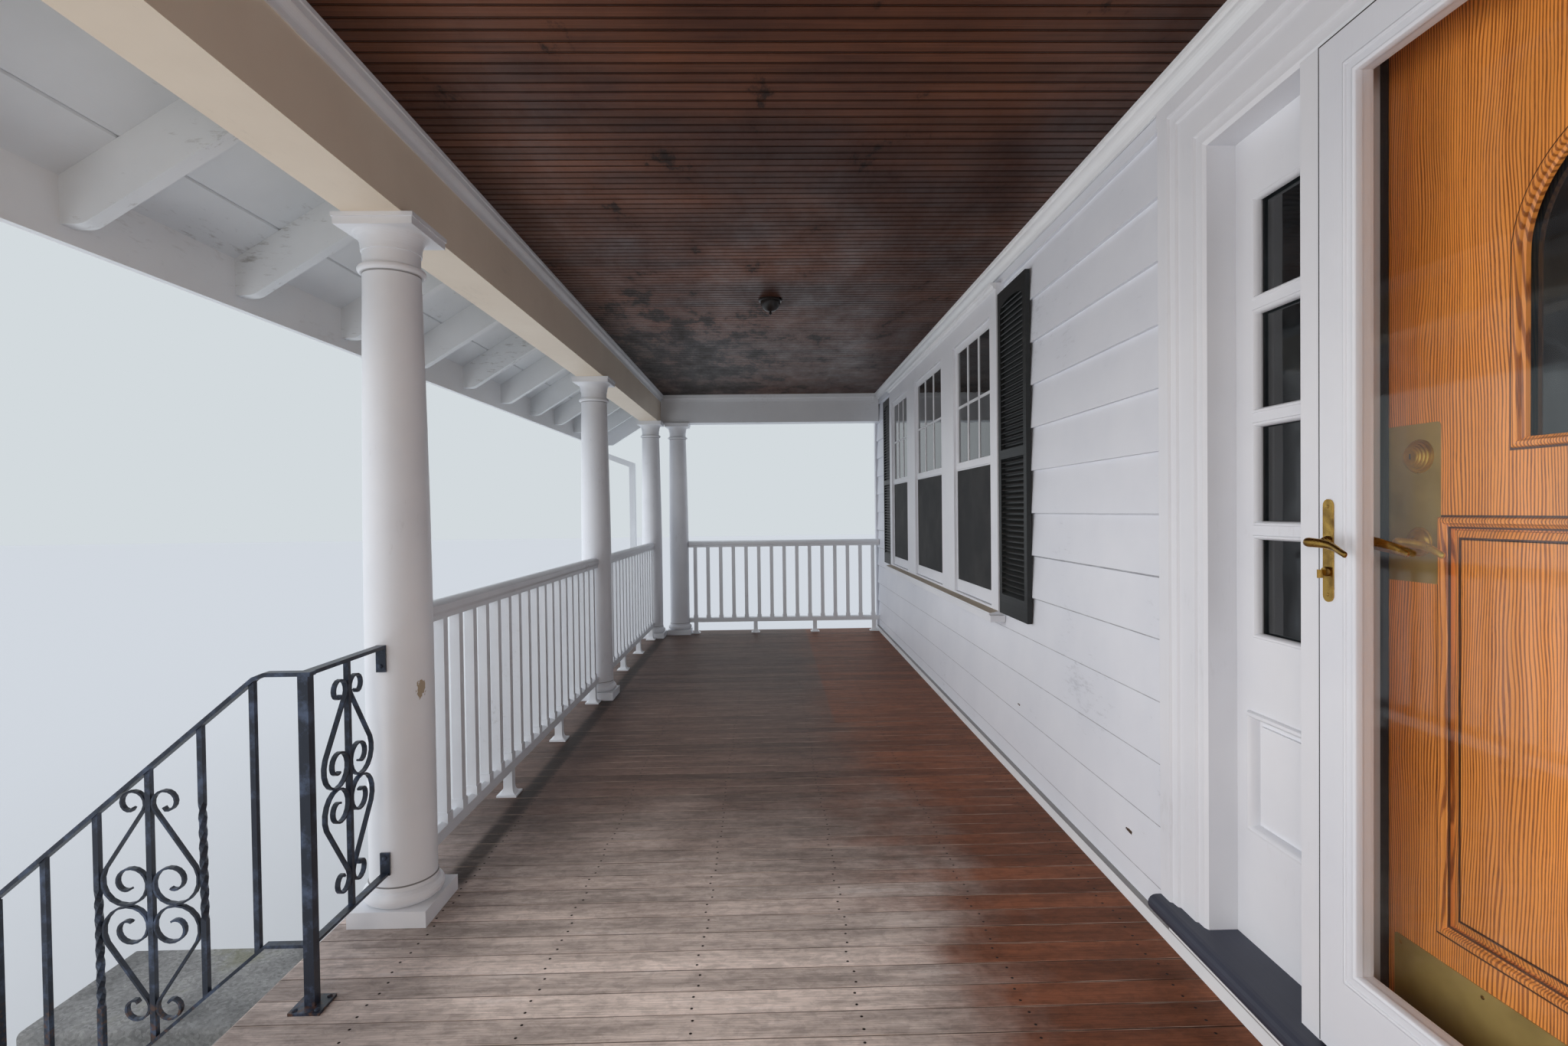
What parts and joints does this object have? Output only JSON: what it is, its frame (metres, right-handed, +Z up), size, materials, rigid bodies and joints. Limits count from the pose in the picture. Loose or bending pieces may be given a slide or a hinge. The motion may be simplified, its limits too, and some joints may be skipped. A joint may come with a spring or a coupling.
{
  "type": "front porch",
  "caption": "Columned front porch against a sided house wall, with railings, steps, an entrance door and triple windows",
  "frame": {"origin": "on the ground under the middle of the whole outline; x = 0 is the middle of the door and steps", "axes": "+X along the porch, to the right seen from the street; +Y into the house; +Z up"},
  "size_m": [13.439, 3.329, 4.7323],
  "materials": {
    "concrete": "rough speckled concrete",
    "white_timber": "satin white paint on wood",
    "white_column": "satin white paint on turned wood",
    "floor_timber": "worn red-brown oiled boards",
    "ceiling_timber": "dark stained beaded boards, semi-gloss",
    "black_lamp": "black bronze dome",
    "shingle": "grey asphalt shingles",
    "white_metal": "white painted aluminium",
    "wall_core": "plain framed wall",
    "white_siding": "white painted lapped boards",
    "slate_sill": "dark slate-grey paint, black nose",
    "dark_pane": "window glass",
    "screen": "dark insect screen",
    "black_shutter": "black painted louvers",
    "storm_white": "white enamelled frame",
    "storm_glass": "clear glass",
    "brass": "lacquered brass",
    "oak": "glossy golden oak",
    "door_glass": "dark glass lite",
    "iron": "blue-black painted iron"
  },
  "bodies": {
    "porch": {"foundation": "concrete", "steps": "concrete", "cheek_walls": "concrete", "floor_frame": "white_timber", "front_railings": "white_timber", "end_railings": "white_timber", "front_beam": "white_timber", "end_beams": "white_timber", "ceiling_moulding": "white_timber", "rafters": "white_timber", "roof_boards": "white_timber", "fascia": "white_timber", "gable_ends": "white_timber", "rake_boards": "white_timber", "base_trim": "white_timber", "corner_boards": "white_timber", "door_casing": "white_timber", "door_frame": "white_timber", "sidelights": "white_timber", "window_frames": "white_timber", "window_sashes": "white_timber", "column_bases": "white_column", "column_shafts": "white_column", "column_capitals": "white_column", "porch_floor": "floor_timber", "ceiling": "ceiling_timber", "ceiling_lights": "black_lamp", "roof_covering": "shingle", "gutter": "white_metal", "downspouts": "white_metal", "wall_left": "wall_core", "wall_right": "wall_core", "wall_over_door": "wall_core", "siding": "white_siding", "door_sill": "slate_sill", "sidelight_panes": "dark_pane", "window_panes": "dark_pane", "window_screens": "screen", "shutters": "black_shutter", "iron_rails": "iron", "iron_scrolls": "iron"},
    "storm_leaf": {"storm_door": "storm_white", "storm_pane": "storm_glass", "storm_plates": "brass"},
    "storm_handle": {"storm_lever": "brass"},
    "inner_leaf": {"inner_door": "oak", "inner_pane": "door_glass", "inner_brass": "brass"}
  },
  "joints": [
    {"name": "storm_door_hinge", "type": "hinge", "parent": "porch", "child": "storm_leaf", "pos_m": [0.455, 1.4365, 1.8], "axis": [0, 0, 1], "range_deg": [0, 100]},
    {"name": "storm_lever_turn", "type": "hinge", "parent": "storm_leaf", "child": "storm_handle", "pos_m": [-0.428, 1.4545, 1.888], "axis": [0, 1, 0], "range_deg": [0, 40]},
    {"name": "inner_door_hinge", "type": "hinge", "parent": "porch", "child": "inner_leaf", "pos_m": [0.454, 1.6165, 1.8], "axis": [0, 0, -1], "range_deg": [0, 90]}
  ]
}
